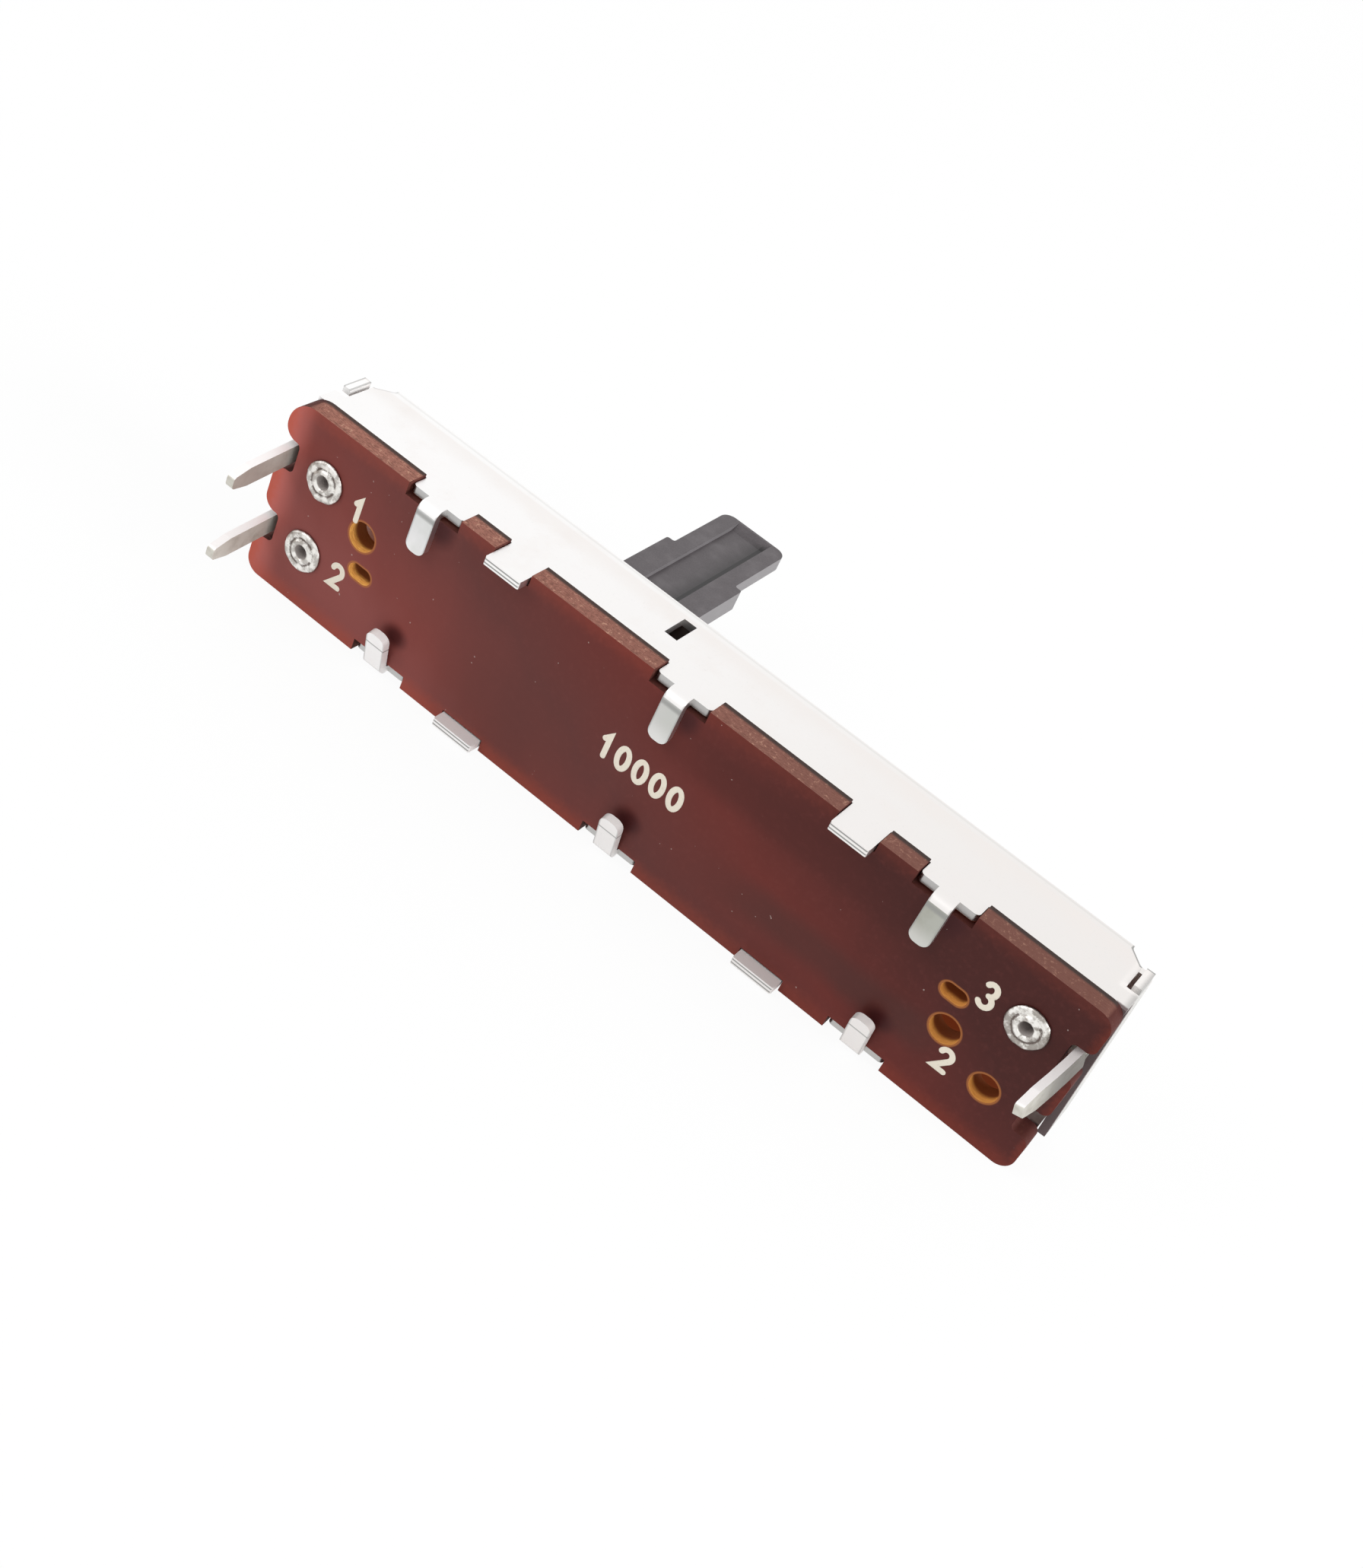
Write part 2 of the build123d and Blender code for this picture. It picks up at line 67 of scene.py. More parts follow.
MM = 0.001
BLACK, WHITE = (0.0, 0.0, 0.0), (1.0, 1.0, 1.0)
CAD_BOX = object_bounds()
FLOOR_LEVEL = CAD_BOX[0][2]
BOARD_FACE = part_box("board")[0].y
EYELETS = {name: (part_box(name)[0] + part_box(name)[1]) / 2 for name in ("eyelet_1", "eyelet_2", "eyelet_3")}

# Places that the finishes go by, in millimetres: x along the travel, y out of the panel face, z up

BOARD_LEVEL = BOARD_FACE / MM
BOARD_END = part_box("board")[1].x / MM
LEVER_MIDDLE = (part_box("slider")[0].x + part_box("slider")[1].x) / 2 / MM
SHEET = 0.4
WALL_INNER, WALL_OUTER = 4.35, 4.75
PANEL_BEND = -0.46
END_PLATE, END_CORNER, LEFT_LUG = 21.7, (21.3, 21.5), -21.78
TAB_PITCH, TAB_TURN, TAB_TIP, FAR_TIP_LINE = 14.0, 4.18, -6.15, -3.15
RELIEF_STARTS, RELIEF_BEND, RELIEF_FLOOR = (20.61, 20.91), -0.55, -1.23
RELIEF_SLANT = (0.697, 0.717)

# How squarely a face looks along an axis where its tone starts, and where it is full

FACING = (0.4, 0.8)

# Strength of the light that comes through the board and its holes

GLOW = 0.35


# Shader arithmetic

def both_ways(operation):
    """The methods for an operator and for its reflected form, where the wire comes second."""
    def forward(wire, other):
        return wire.maths(operation, wire, other)

    def reflected(wire, other):
        return wire.maths(operation, other, wire)

    return forward, reflected


class Wire:
    """A shader socket that takes part in Python's sums and products."""

    def __init__(self, recipe, socket):
        self.recipe = recipe
        self.socket = socket

    def maths(self, operation, *terms):
        return self.recipe.add("ShaderNodeMath", {"operation": operation}, dict(enumerate(terms)))

    __add__, __radd__ = both_ways("ADD")
    __sub__, __rsub__ = both_ways("SUBTRACT")
    __mul__, __rmul__ = both_ways("MULTIPLY")
    __truediv__, __rtruediv__ = both_ways("DIVIDE")
    __pow__, __rpow__ = both_ways("POWER")

    def __abs__(self):
        return self.maths("ABSOLUTE", self)

    def lesser(self, other):
        return self.maths("MINIMUM", self, other)

    def greater(self, other):
        return self.maths("MAXIMUM", self, other)

    def repeats(self, spacing):
        """The distance to the nearest multiple of the spacing."""
        return self.maths("PINGPONG", self, spacing / 2)

    def ramp(self, low, high, start, end):
        """A smooth step from start to end while this value goes from low to high."""
        settings = {"interpolation_type": "SMOOTHSTEP"}
        values = {0: self, 1: low, 2: high, 3: start, 4: end}
        return self.recipe.add("ShaderNodeMapRange", settings, values)

    def rise(self, low, high, top=1.0):
        """A smooth step from 0 up to top."""
        return self.ramp(low, high, 0.0, top)

    def fade(self, low, high, top=1.0):
        """A smooth step from top down to 0."""
        return self.ramp(low, high, top, 0.0)

    def between(self, rising, fading):
        """A window that opens over the first range and closes over the second."""
        return self.rise(*rising) * self.fade(*fading)

    def line(self, place, core, edge, top):
        """A line at a place: full within its core on either side and gone at its edge."""
        return abs(self - place).fade(core, edge, top)


def distance(across, along):
    """How far a point is from a centre, by its two offsets."""
    return (across * across + along * along) ** 0.5


class Recipe:
    """The shader nodes of one finish."""

    def __init__(self, owner):
        owner.use_nodes = True
        self.owner = owner
        self.tree = owner.node_tree
        self.tree.nodes.clear()

    def add(self, kind, settings=None, values=None, out=0):
        """Adds one node: its settings first, then its sockets. Gives the output, or each one that is named."""
        node = self.tree.nodes.new(kind)
        for name, value in (settings or {}).items():
            if name == "stops":
                self.set_stops(node.color_ramp, value)
            else:
                setattr(node, name, value)
        for key, value in (values or {}).items():
            if isinstance(value, Wire):
                self.tree.links.new(value.socket, node.inputs[key])
            else:
                node.inputs[key].default_value = value
        if isinstance(out, tuple):
            return [Wire(self, node.outputs[key]) for key in out]
        return Wire(self, node.outputs[out]) if node.outputs else None

    def set_stops(self, ramp, stops):
        while len(ramp.elements) < len(stops):
            ramp.elements.new(1.0)
        for element, (place, colour) in zip(ramp.elements, stops):
            element.position = place
            element.color = full(colour)

    def place(self):
        """The surface point in millimetres, in the component's own frame."""
        point = self.add("ShaderNodeTexCoord", out="Object")
        return self.add("ShaderNodeVectorMath", {"operation": "SCALE"}, {0: point, "Scale": 1 / MM})

    def stretched(self, point, factors):
        return self.add("ShaderNodeVectorMath", {"operation": "MULTIPLY"}, {0: point, 1: factors})

    def parts_of(self, vector):
        return self.add("ShaderNodeSeparateXYZ", values={0: vector}, out=("X", "Y", "Z"))

    def facing(self):
        """The parts of the surface's direction."""
        return self.parts_of(self.add("ShaderNodeNewGeometry", out="Normal"))

    def grain(self, point, scale, detail, roughness):
        values = {"Vector": point, "Scale": scale, "Detail": detail, "Roughness": roughness}
        return self.add("ShaderNodeTexNoise", values=values)

    def blend(self, amount, first, second):
        """Two colours mixed, where amount is a number or a wire."""
        settings = {"data_type": "RGBA", "clamp_factor": True}
        return self.add("ShaderNodeMix", settings, {0: amount, 6: full(first), 7: full(second)}, out=2)

    def coats(self, colour, *layers):
        """Lays coats over a colour in turn, each an amount with its own colour."""
        for amount, tone in layers:
            colour = self.blend(amount, colour, tone)
        return colour

    def bump(self, height, strength, depth):
        return self.add("ShaderNodeBump", values={"Height": height, "Strength": strength, "Distance": depth})

    def surface(self, **values):
        """Ends the recipe with a Principled shader that takes the named values."""
        named = {name.replace("_", " "): value for name, value in values.items()}
        shader = self.add("ShaderNodeBsdfPrincipled", values=named)
        self.add("ShaderNodeOutputMaterial", values={"Surface": shader})
        return self.owner


def full(colour):
    """A colour with its alpha, or a wire as it is."""
    return colour if isinstance(colour, Wire) else (*colour[:3], 1.0)


def new_finish(name):
    material = bpy.data.materials.get(name) or bpy.data.materials.new(name)
    return Recipe(material)


def settings_of(context):
    return context.scene.potentiometer


# Housing

def plated_sheet(colours):
    """Bright tin-plated sheet: soft mottling, a warm band below the panel bend, and painted shade darkening it to the
    right, along the bend, on the tabs and shoulders and at the right end and lug; dark lines at the reliefs and the
    left lug, satin end plates, and an inside painted brown and glowing as if lit through the board.
    """
    r = new_finish("plated_sheet")
    point = r.place()
    at = x, y, z = r.parts_of(point)
    nx, ny, nz = r.facing()
    mottle = r.grain(point, 0.45, 4.0, 0.6)
    rolling = r.grain(r.stretched(point, (0.25, 5.0, 5.0)), 1.6, 3.0, 0.6)
    specks = r.grain(point, 9.0, 2.0, 0.6)
    wall = abs(z).rise(WALL_OUTER - 0.15, WALL_OUTER - 0.05)
    bent = y.fade(BOARD_LEVEL + 0.1, BOARD_LEVEL + 0.2)
    outward = ny.fade(-0.9, -0.6)
    tab_face = bent * outward
    far_tab = z.fade(-1.0, 1.0) * y.fade(BOARD_LEVEL, BOARD_LEVEL + 0.1)
    # Painted shade on the wall's shoulders beside the tabs.
    shoulder_shade = y.fade(-5.2, -5.1) * (1 - bent) * outward
    end_face = nx.rise(*FACING) * x.rise(END_PLATE - 0.1, END_PLATE + 0.1)
    dark_end = end_plate_under_lug(x, y, z)
    inside = inside_of_sheet(x, y, z)
    turned_away = ny.rise(*FACING).greater((0 - nx).rise(*FACING)).greater((0 - nz).rise(*FACING))
    # A warmer, darker band on the walls below the panel bend.
    warm_band = (y + 1.2 * (mottle - 0.5)).rise(-2.4, -1.0, 0.45) * y.fade(-0.85, -0.7) * wall
    # Painted shade: the sheet darkens from its left end toward the right, to the sheet shade colour.
    painted_falloff = (x + 6 * (mottle - 0.5)).rise(-22.0, 24.0)
    colour = r.coats(
        r.blend(painted_falloff, colours.sheet, colours.sheet_shade),
        (turned_away, r.blend(rolling.rise(0.3, 0.75), colours.sheet_panel, colours.sheet_rolled)),
        (end_face, r.blend(rolling.rise(0.35, 0.7), colours.end_satin, colours.end_rolled)),
        (mottle.rise(0.5, 0.75, 0.3), colours.sheet_warm),
        (specks.rise(0.62, 0.8, 0.2), colours.sheet_worked_and_bend_shade),
        (warm_band, colours.sheet_warm),
        # Painted shade: a thin darker line along the walls' panel bend.
        (y.line(PANEL_BEND, 0.03, 0.1, 0.22) * wall, colours.sheet_worked_and_bend_shade),
        *tab_coats(r, at, tab_face, mottle, colours),
        (0.65 * shoulder_shade, colours.sheet_dark),
        *[(cut, colours.sheet_dark) for cut in sheet_lines_and_shade(x, y, z, wall)],
        (dark_end, colours.end_dull),
        # Painted light: the inside faces brown, as if lit through the red board.
        (inside, colours.inside_painted_light),
        # A dark line across the far tabs near their tips.
        (z.line(FAR_TIP_LINE, 0.02, 0.06, 0.7) * far_tab, colours.sheet_dark),
    )
    corner = abs(x).rise(*END_CORNER) * z.rise(4.0, 4.3) * y.rise(-3.2, -3.1)
    satin = far_tab.greater(dark_end).greater(0.5 * tab_face).greater(corner).greater(end_face)
    rough = 0.26 + 0.14 * mottle + 0.06 * rolling + 0.3 * inside + 0.2 * satin
    height = 0.5 * rolling + 0.5 * specks
    lit = inside * abs(x).between((12.0, 14.0), (20.8, 21.2))
    return r.surface(
        Base_Color=colour, Metallic=1 - 0.6 * satin, Roughness=rough,
        Emission_Color=r.blend(lit, BLACK, colours.glow_through), Emission_Strength=GLOW,
        Normal=r.bump(height, 0.25, 0.02 * MM),
    )


def tab_coats(r, at, tab_face, mottle, colours):
    """The tabs turned over the board: painted shade along the near row, then cut ends and outlines on both rows."""
    x, y, z = at
    # Painted shade: the near tabs' outward faces greyer than the sheet and more so to the right, lighter toward the
    # tips, with a dark line at the turn.
    tone = r.coats(
        r.blend(x.rise(-15.0, 15.0), colours.tab_shade_left, colours.tab_shade_right),
        (z.fade(2.2, 3.4, 0.4), colours.sheet),
        (mottle.rise(0.45, 0.65, 0.3), colours.sheet_worked_and_bend_shade),
        (abs(z).line(TAB_TURN, 0.04, 0.22, 0.75), colours.sheet_dark),
    )
    over_board = z.rise(-1.0, 1.0) * z.fade(WALL_INNER - 0.01, WALL_INNER + 0.01)
    cut_end = y.fade(TAB_TIP, TAB_TIP + 0.05) * abs(z).rise(WALL_INNER - 0.01, WALL_INNER + 0.01)
    shear_marks = abs(abs(z) - 4.56).line(0.09, 0.02, 0.05, 0.95)
    off_middle = x.repeats(TAB_PITCH)
    outline = off_middle.rise(0.43, 0.52, 0.55) * off_middle.fade(0.6, 0.7)
    return [
        (tab_face * over_board, tone),
        (tab_face * cut_end * shear_marks, colours.sheet_dark),
        (tab_face * outline, colours.sheet_dark),
    ]


def sheet_lines_and_shade(x, y, z, wall):
    """Dark marks on the sheet: a line along the corner reliefs, painted shade toward the right end of the wall and over
    the right lug, and lines along the left lug's sides.
    """
    past = abs(x) - x.ramp(-1.0, 1.0, *RELIEF_STARTS)
    slant = RELIEF_SLANT[0] * past + RELIEF_SLANT[1] * (y - RELIEF_BEND)
    relief = past.lesser(slant).lesser(y - RELIEF_FLOOR).rise(-0.1, -0.04)
    relief = relief * abs(z).rise(WALL_OUTER - 0.05, WALL_OUTER - 0.01) * x.ramp(-1.0, 1.0, 0.25, 0.85)
    # Painted shade: the wall darkens toward its right end, and the right lug over its right half.
    wall_end_shade = x.rise(21.95, 22.3, 0.5) * y.fade(-3.1, -2.9) * wall
    lug = x.rise(22.0, 22.3, 0.6) * y.rise(-2.8, -2.7) * z.rise(4.3, 4.36)
    lug_sides = abs(x - LEFT_LUG).rise(0.09, 0.16, 0.6) * x.fade(-21.4, -21.3)
    return relief, wall_end_shade, lug, lug_sides * z.rise(WALL_OUTER + 0.05, WALL_OUTER + 0.11)


def end_plate_under_lug(x, y, z):
    """The right end plate under its lug."""
    below_lug = z.fade(3.9, 4.3).greater(y.fade(-4.15, -4.0))
    return x.rise(END_PLATE, END_PLATE + 0.1) * y.fade(-2.5, -2.3) * below_lug


def inside_of_sheet(x, y, z):
    """The faces that look into the housing, between its walls, panel plate, end plates and board."""
    walled = abs(z).fade(WALL_INNER + 0.005, WALL_INNER + 0.015) * y.fade(-SHEET - 0.005, -SHEET + 0.005)
    return walled * y.rise(BOARD_LEVEL + 0.1, BOARD_LEVEL + 0.15) * abs(x).fade(*END_CORNER)


# Board and prints

def laminate(colours):
    """Dark phenolic paper board: fibrous cut edges, glowing amber hole walls and redder thin edges."""
    r = new_finish("laminate")
    point = r.place()
    at = x, y, z = r.parts_of(point)
    _, ny, nz = r.facing()
    fine = r.grain(point, 3.5, 4.0, 0.6)
    fibres = r.grain(r.stretched(point, (1.6, 9.0, 1.6)), 2.2, 4.0, 0.75)
    side = abs(ny).fade(0.3, 0.7)
    in_hole = hole_mask(x, z)
    amber = r.coats(
        r.blend(fibres.rise(0.25, 0.8), colours.hole_amber, colours.hole_brown),
        (x.rise(-10.0, 18.0, 0.6), colours.hole_brown),
        (y.rise(-5.3, -4.9, 0.95), colours.hole_dark),
    )
    colour = r.coats(
        board_face(r, point, x, z, fine, colours),
        (side, board_cut(r, point, at, nz, fibres, colours)),
        (in_hole * side, amber),
        (0.7 * in_hole * (1 - side), colours.hole_rim),
    )
    return r.surface(
        Base_Color=colour, Roughness=0.36 + 0.14 * fine + 0.3 * side, Specular_IOR_Level=0.15,
        Emission_Color=r.blend(in_hole * side, BLACK, amber), Emission_Strength=GLOW,
        Normal=r.bump(0.4 * fine + fibres * side, 0.3, 0.03 * MM),
    )


def board_face(r, point, x, z, fine, colours):
    """The outer face: lighter to the left, with muted streaks, painted shadows by the tabs, thin rims and dust."""
    cloud = r.grain(r.stretched(point, (1.0, 1.0, 0.4)), 0.4, 3.0, 0.5)
    waver = cloud - 0.5
    start, length, slant = -20.8, 44.8, 1.8
    along = (x + slant * z - start) / length + 0.14 * waver
    tone = r.add("ShaderNodeValToRGB", {"stops": [
        (0.0, colours.board_light), (0.12, colours.board_left), (0.35, colours.board),
        (0.6, colours.board_warm), (0.88, colours.board_dark),
    ]}, {0: along})
    near_streak = (z + 0.6 * waver).rise(1.0, 2.2) * z.fade(3.2, 4.2) * x.between((-2.0, 3.0), (12.0, 16.0))
    far_streak = (z + 0.8 * waver).line(-1.9, 0.3, 1.5, 0.5) * x.between((3.0, 9.0), (15.0, 18.0))
    far_patch = z.fade(-3.0, 1.5) * x.between((-12.5, -9.0), (-6.0, -2.0))
    return r.coats(
        tone,
        (fine.rise(0.45, 0.8, 0.1), colours.board_light),
        (0.45 * near_streak, colours.board_dark),
        (far_streak.greater(0.35 * far_patch), colours.board_muted),
        ((x + 0.8 * waver).fade(-22.3, -20.6), colours.board_glow),
        (tab_painted_shadow(x, z, waver), colours.board_shade),
        (thin_rims(x, z, 0.5 * (fine - 0.5)), colours.board_rim),
        (r.grain(point, 5.0, 1.0, 0.4).rise(0.81, 0.84, 0.45), colours.dust),
    )


def tab_painted_shadow(x, z, waver):
    """Painted shadows on the board beside the crimp tabs of both rows."""
    near = distance((x - 0.8).repeats(TAB_PITCH), 0.8 * (z - 3.9))
    far = distance((x - 0.4).repeats(TAB_PITCH), 1.2 * (z + 2.6))
    return (near.lesser(far) + 0.4 * waver).fade(0.2, 0.95, 0.8)


def thin_rims(x, z, waver):
    """The board's outer edges, where it is thin enough to let light through, less so to the right."""
    long_rims = (z + waver).rise(4.0, 4.9, 0.18).greater((waver - z).rise(3.8, 4.9, 0.38))
    end_rims = (waver - x).rise(21.6, 22.4, 0.6).greater((waver + x).rise(21.9, 22.4, 0.35))
    return long_rims.greater(end_rims) * x.ramp(-20.0, 16.0, 1.0, 0.45)


def board_cut(r, point, at, nz, fibres, colours):
    """The fibrous cut edge: darker to the right, in the notches, and with painted shadow along its seam with the
    housing.
    """
    x, y, z = at
    flecks = r.grain(point, 5.0, 3.0, 0.8)
    tone = r.blend(x.rise(-22.0, 22.0), colours.board_cut, colours.board_cut_warm)
    long_side = nz.rise(0.5, 0.8) * z.rise(WALL_OUTER + 0.05, WALL_OUTER + 0.13)
    return r.coats(
        r.blend(fibres.rise(0.3, 0.6), colours.board_cut_dark, tone),
        (flecks.rise(0.56, 0.66, 0.6), colours.board_fleck),
        (flecks.fade(0.36, 0.44, 0.6), colours.board_cut_dark),
        (x.rise(-8.0, 22.0, 0.6), colours.board_cut_dark),
        # Painted shadow: the cut edge dark along its seam with the housing.
        ((y + 0.12 * (fibres - 0.5)).rise(-4.66, -4.46, 0.9), colours.seam),
        (0.85 * (1 - long_side), colours.board_deep),
    )


def board_holes():
    """Middle x, middle z, half length and radius of each open hole, in millimetres."""
    round_x, slot_x, eyelet_x = BOARD_END - 5.5, BOARD_END - 6.0, BOARD_END - 2.8
    return [
        (-round_x, 0.8, 0.0, 0.73), (round_x, -0.8, 0.0, 0.73),
        (-slot_x, -1.0, 0.25, 0.4), (slot_x, 1.0, 0.25, 0.4),
        (eyelet_x, -2.0, 0.0, 0.7),
    ]


def hole_mask(x, z):
    """1 in the board's open holes and at their rims."""
    masks = []
    for middle_x, middle_z, half, radius in board_holes():
        past_half = (abs(x - middle_x) - half).greater(0.0)
        masks.append(distance(past_half, z - middle_z).fade(radius + 0.05, radius + 0.13))
    return reduce(Wire.greater, masks)


def resist_print(colours):
    """Matt carbon print with a screen-printed grain."""
    r = new_finish("carbon_print")
    grain = r.grain(r.place(), 8.0, 3.0, 0.7)
    colour = r.blend(grain.rise(0.3, 0.8), colours.carbon, colours.carbon_grain)
    return r.surface(Base_Color=colour, Roughness=0.5 + 0.3 * grain, Normal=r.bump(grain, 0.3, 0.01 * MM))


def silver_print(colours):
    """Satin silver print, slightly tarnished in patches."""
    r = new_finish("silver_print")
    point = r.place()
    grain = r.grain(point, 6.0, 3.0, 0.6)
    patches = r.grain(point, 0.8, 2.0, 0.5)
    return r.surface(
        Base_Color=r.blend(patches.rise(0.45, 0.7, 0.6), colours.silver, colours.silver_tarnish),
        Metallic=0.85, Roughness=0.4 + 0.2 * grain, Normal=r.bump(grain, 0.3, 0.01 * MM),
    )


def ink(colours):
    """Cream screen-printed ink with small pinholes."""
    r = new_finish("ink")
    grain = r.grain(r.place(), 7.0, 3.0, 0.7)
    colour = r.blend(grain.rise(0.55, 0.8, 0.5), colours.ink, colours.ink_pinhole)
    return r.surface(Base_Color=colour, Roughness=0.55 + 0.2 * grain, Normal=r.bump(grain, 0.3, 0.01 * MM))


# Terminals and eyelets

def terminal_plating(colours):
    """Silver-plated strip drawn lengthwise, with painted highlight on the upward faces, painted taupe shade on the left
    pins' faces toward +x, and painted dark shade on the right pin's face toward +x.
    """
    r = new_finish("terminal_plating")
    point = r.place()
    x, y, z = r.parts_of(point)
    nx, _, nz = r.facing()
    drawn = r.grain(r.stretched(point, (6.0, 0.5, 6.0)), 1.5, 3.0, 0.6)
    patches = r.grain(point, 1.1, 3.0, 0.6)
    left = x.fade(-20.0, 0.0)
    # Painted shade: the left pins' faces toward +x taupe, more so on the upper pin and toward the tips.
    left_face_shade = nx.rise(*FACING) * left
    taupe = z.ramp(-0.5, 0.5, 0.2, 0.75) * y.ramp(-8.2, -5.4, 1.0, 0.35)
    # Painted highlight: the upward faces of the strip bright.
    top_highlight = nz.rise(0.5, 0.8)
    # Painted shade: the right pin's face toward +x dark, most toward the root.
    right_face_shade = nx.rise(*FACING) * (1 - left) * y.ramp(-9.4, -6.6, 0.3, 0.85)
    colour = r.coats(
        r.blend(patches.rise(0.4, 0.75), colours.terminal, colours.terminal_shade),
        (left_face_shade * taupe, colours.terminal_taupe),
        (top_highlight, colours.terminal_highlight),
        (right_face_shade, colours.terminal_face_shade),
    )
    return r.surface(
        Base_Color=colour, Metallic=0.6 - 0.3 * left_face_shade.greater(top_highlight) - 0.3 * right_face_shade,
        Roughness=0.38 + 0.15 * drawn + 0.1 * patches, Normal=r.bump(drawn, 0.3, 0.02 * MM),
    )


def rivet_metal(colours):
    """Pressed tinned eyelet: warm dull silver, with painted shade in broken rings on the head's groove, painted shadow
    at its foot by the board, and a grey bore.
    """
    r = new_finish("rivet_metal")
    point = r.place()
    x, y, z = r.parts_of(point)
    dents = r.grain(point, 2.6, 3.0, 0.6)
    fine = r.grain(point, 12.0, 2.0, 0.5)
    reaches = [distance(x - middle.x / MM, z - middle.z / MM) for middle in EYELETS.values()]
    radius = reduce(Wire.lesser, reaches)
    dented = dents.rise(0.4, 0.6) * x.ramp(-10.0, 10.0, 0.75, 1.0)
    # Painted shade: a dark broken ring in the groove of the rolled head.
    ring = (radius + 0.1 * (fine - 0.5)).line(0.66, 0.02, 0.09, 0.85) * dents.rise(0.35, 0.5)
    # Painted shadow: the head's outer foot dark where it meets the board.
    foot = y.rise(BOARD_LEVEL - 0.09, BOARD_LEVEL - 0.02) * radius.rise(0.85, 0.9)
    bore = radius.fade(0.33, 0.36)
    colour = r.coats(
        r.blend(dented, colours.rivet, colours.rivet_shade),
        (ring, colours.rivet_painted_shade),
        (foot, colours.rivet_painted_shade),
        (bore, colours.rivet_bore),
    )
    return r.surface(
        Base_Color=colour, Metallic=1 - 0.9 * bore, Roughness=0.28 + 0.2 * dents + 0.3 * bore,
        Normal=r.bump(dents + 0.3 * fine, 0.6, 0.08 * MM),
    )


# Slider

def lever_plastic(colours):
    """Dark glass-filled moulding, satin and finely speckled, with a shaded channel and painted light on the narrow side
    that faces +x.
    """
    r = new_finish("lever_plastic")
    point = r.place()
    x, y, z = r.parts_of(point)
    nx, _, nz = r.facing()
    speckle = r.grain(point, 14.0, 3.0, 0.7)
    cloud = r.grain(point, 1.2, 3.0, 0.5)
    channel = z.fade(0.32, 0.5) * nz.rise(0.5, 0.8) * y.rise(0.0, 0.2)
    soft_shade = x.ramp(LEVER_MIDDLE - 0.3, LEVER_MIDDLE + 0.9, 0.1, 0.6)
    corner = x.rise(LEVER_MIDDLE + 0.64, LEVER_MIDDLE + 0.74)
    colour = r.coats(
        r.blend(speckle.rise(0.35, 0.8, 0.4), colours.lever, colours.lever_light),
        (cloud.rise(0.4, 0.8, 0.4), colours.lever_light),
        (channel * soft_shade.greater(corner), colours.lever_dark),
        # Painted light: the narrow side facing +x lighter.
        (nx.rise(0.6, 0.9, 0.45), colours.lever_lit_side),
    )
    return r.surface(
        Base_Color=colour, Roughness=0.32 + 0.12 * speckle, Specular_IOR_Level=0.5,
        Normal=r.bump(speckle, 0.2, 0.01 * MM),
    )


def spring_bronze(colours):
    """Rolled bronze strip."""
    r = new_finish("spring_bronze")
    rolled = r.grain(r.stretched(r.place(), (0.5, 6.0, 6.0)), 1.5, 3.0, 0.6)
    return r.surface(
        Base_Color=r.blend(rolled.rise(0.3, 0.8), colours.bronze, colours.bronze_shade),
        Metallic=1.0, Roughness=0.25 + 0.15 * rolled, Normal=r.bump(rolled, 0.2, 0.01 * MM),
    )


# Mesh helpers

SAME_PLACE = 1e-7


def finished(name, mesh, material, body):
    """Puts a mesh in the scene as a piece that rides on a body."""
    mesh.materials.append(material)
    piece = bpy.data.objects.new(name, mesh)
    bpy.context.scene.collection.objects.link(piece)
    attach(piece, body)
    return piece


def mesh_from(name, points, faces, smooth=True):
    mesh = bpy.data.meshes.new(name)
    mesh.from_pydata(points, [], faces)
    mesh.validate()
    for polygon in mesh.polygons:
        polygon.use_smooth = smooth
    mesh.update()
    return mesh


def weld(mesh):
    """Joins doubled points and turns every face outward."""
    work = bmesh.new()
    work.from_mesh(mesh)
    bmesh.ops.remove_doubles(work, verts=work.verts, dist=SAME_PLACE)
    bmesh.ops.recalc_face_normals(work, faces=work.faces)
    work.to_mesh(mesh)
    work.free()


def paint(node, material):
    """Gives a carried-over CAD node its finish."""
    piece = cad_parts[node]
    piece.data.materials.clear()
    piece.data.materials.append(material)


# Marks, drawn as strokes in units of a digit's height

def arc(middle, size, start, end, count):
    """Points on an ellipse between two angles in degrees."""
    steps = [start + (end - start) * i / count for i in range(count + 1)]
    turns = [math.radians(step) for step in steps]
    return [(middle[0] + size[0] * math.cos(turn), middle[1] + size[1] * math.sin(turn)) for turn in turns]


DIGIT_WIDTH = 0.5
STROKES = {
    "0": [arc((0.25, 0.5), (0.25, 0.5), 90, 450, 28)],
    "1": [[(0.1, 0.78), (0.3, 1.0), (0.3, 0.0)]],
    "2": [arc((0.27, 0.64), (0.22, 0.24), 165, -40, 14) + [(0.05, 0.0), (0.47, 0.0)]],
    "3": [
        arc((0.25, 0.74), (0.2, 0.25), 150, -84, 12),
        arc((0.25, 0.25), (0.23, 0.25), 84, -150, 12),
    ],
}

# The cross-section of a bead of ink from its side to its flat top: shares of its half width and of its height

INK_LEVELS = [(1.0, 0.0), (0.94, 0.75), (0.75, 1.0)]
INK_END_STEPS = 6
SHARPEST_MITRE = 0.35


def number_outline(text, height, gap):
    """The strokes of a number, centred on the origin, with the tops up."""
    advance = DIGIT_WIDTH * height + gap
    total = advance * len(text) - gap
    strokes = []
    for place, digit in enumerate(text):
        left = place * advance - total / 2
        for line in STROKES[digit]:
            strokes.append([(left + u * height, (v - 0.5) * height) for u, v in line])
    return strokes


def direction(start, end):
    size = math.dist(start, end) or 1.0
    return ((end[0] - start[0]) / size, (end[1] - start[1]) / size)


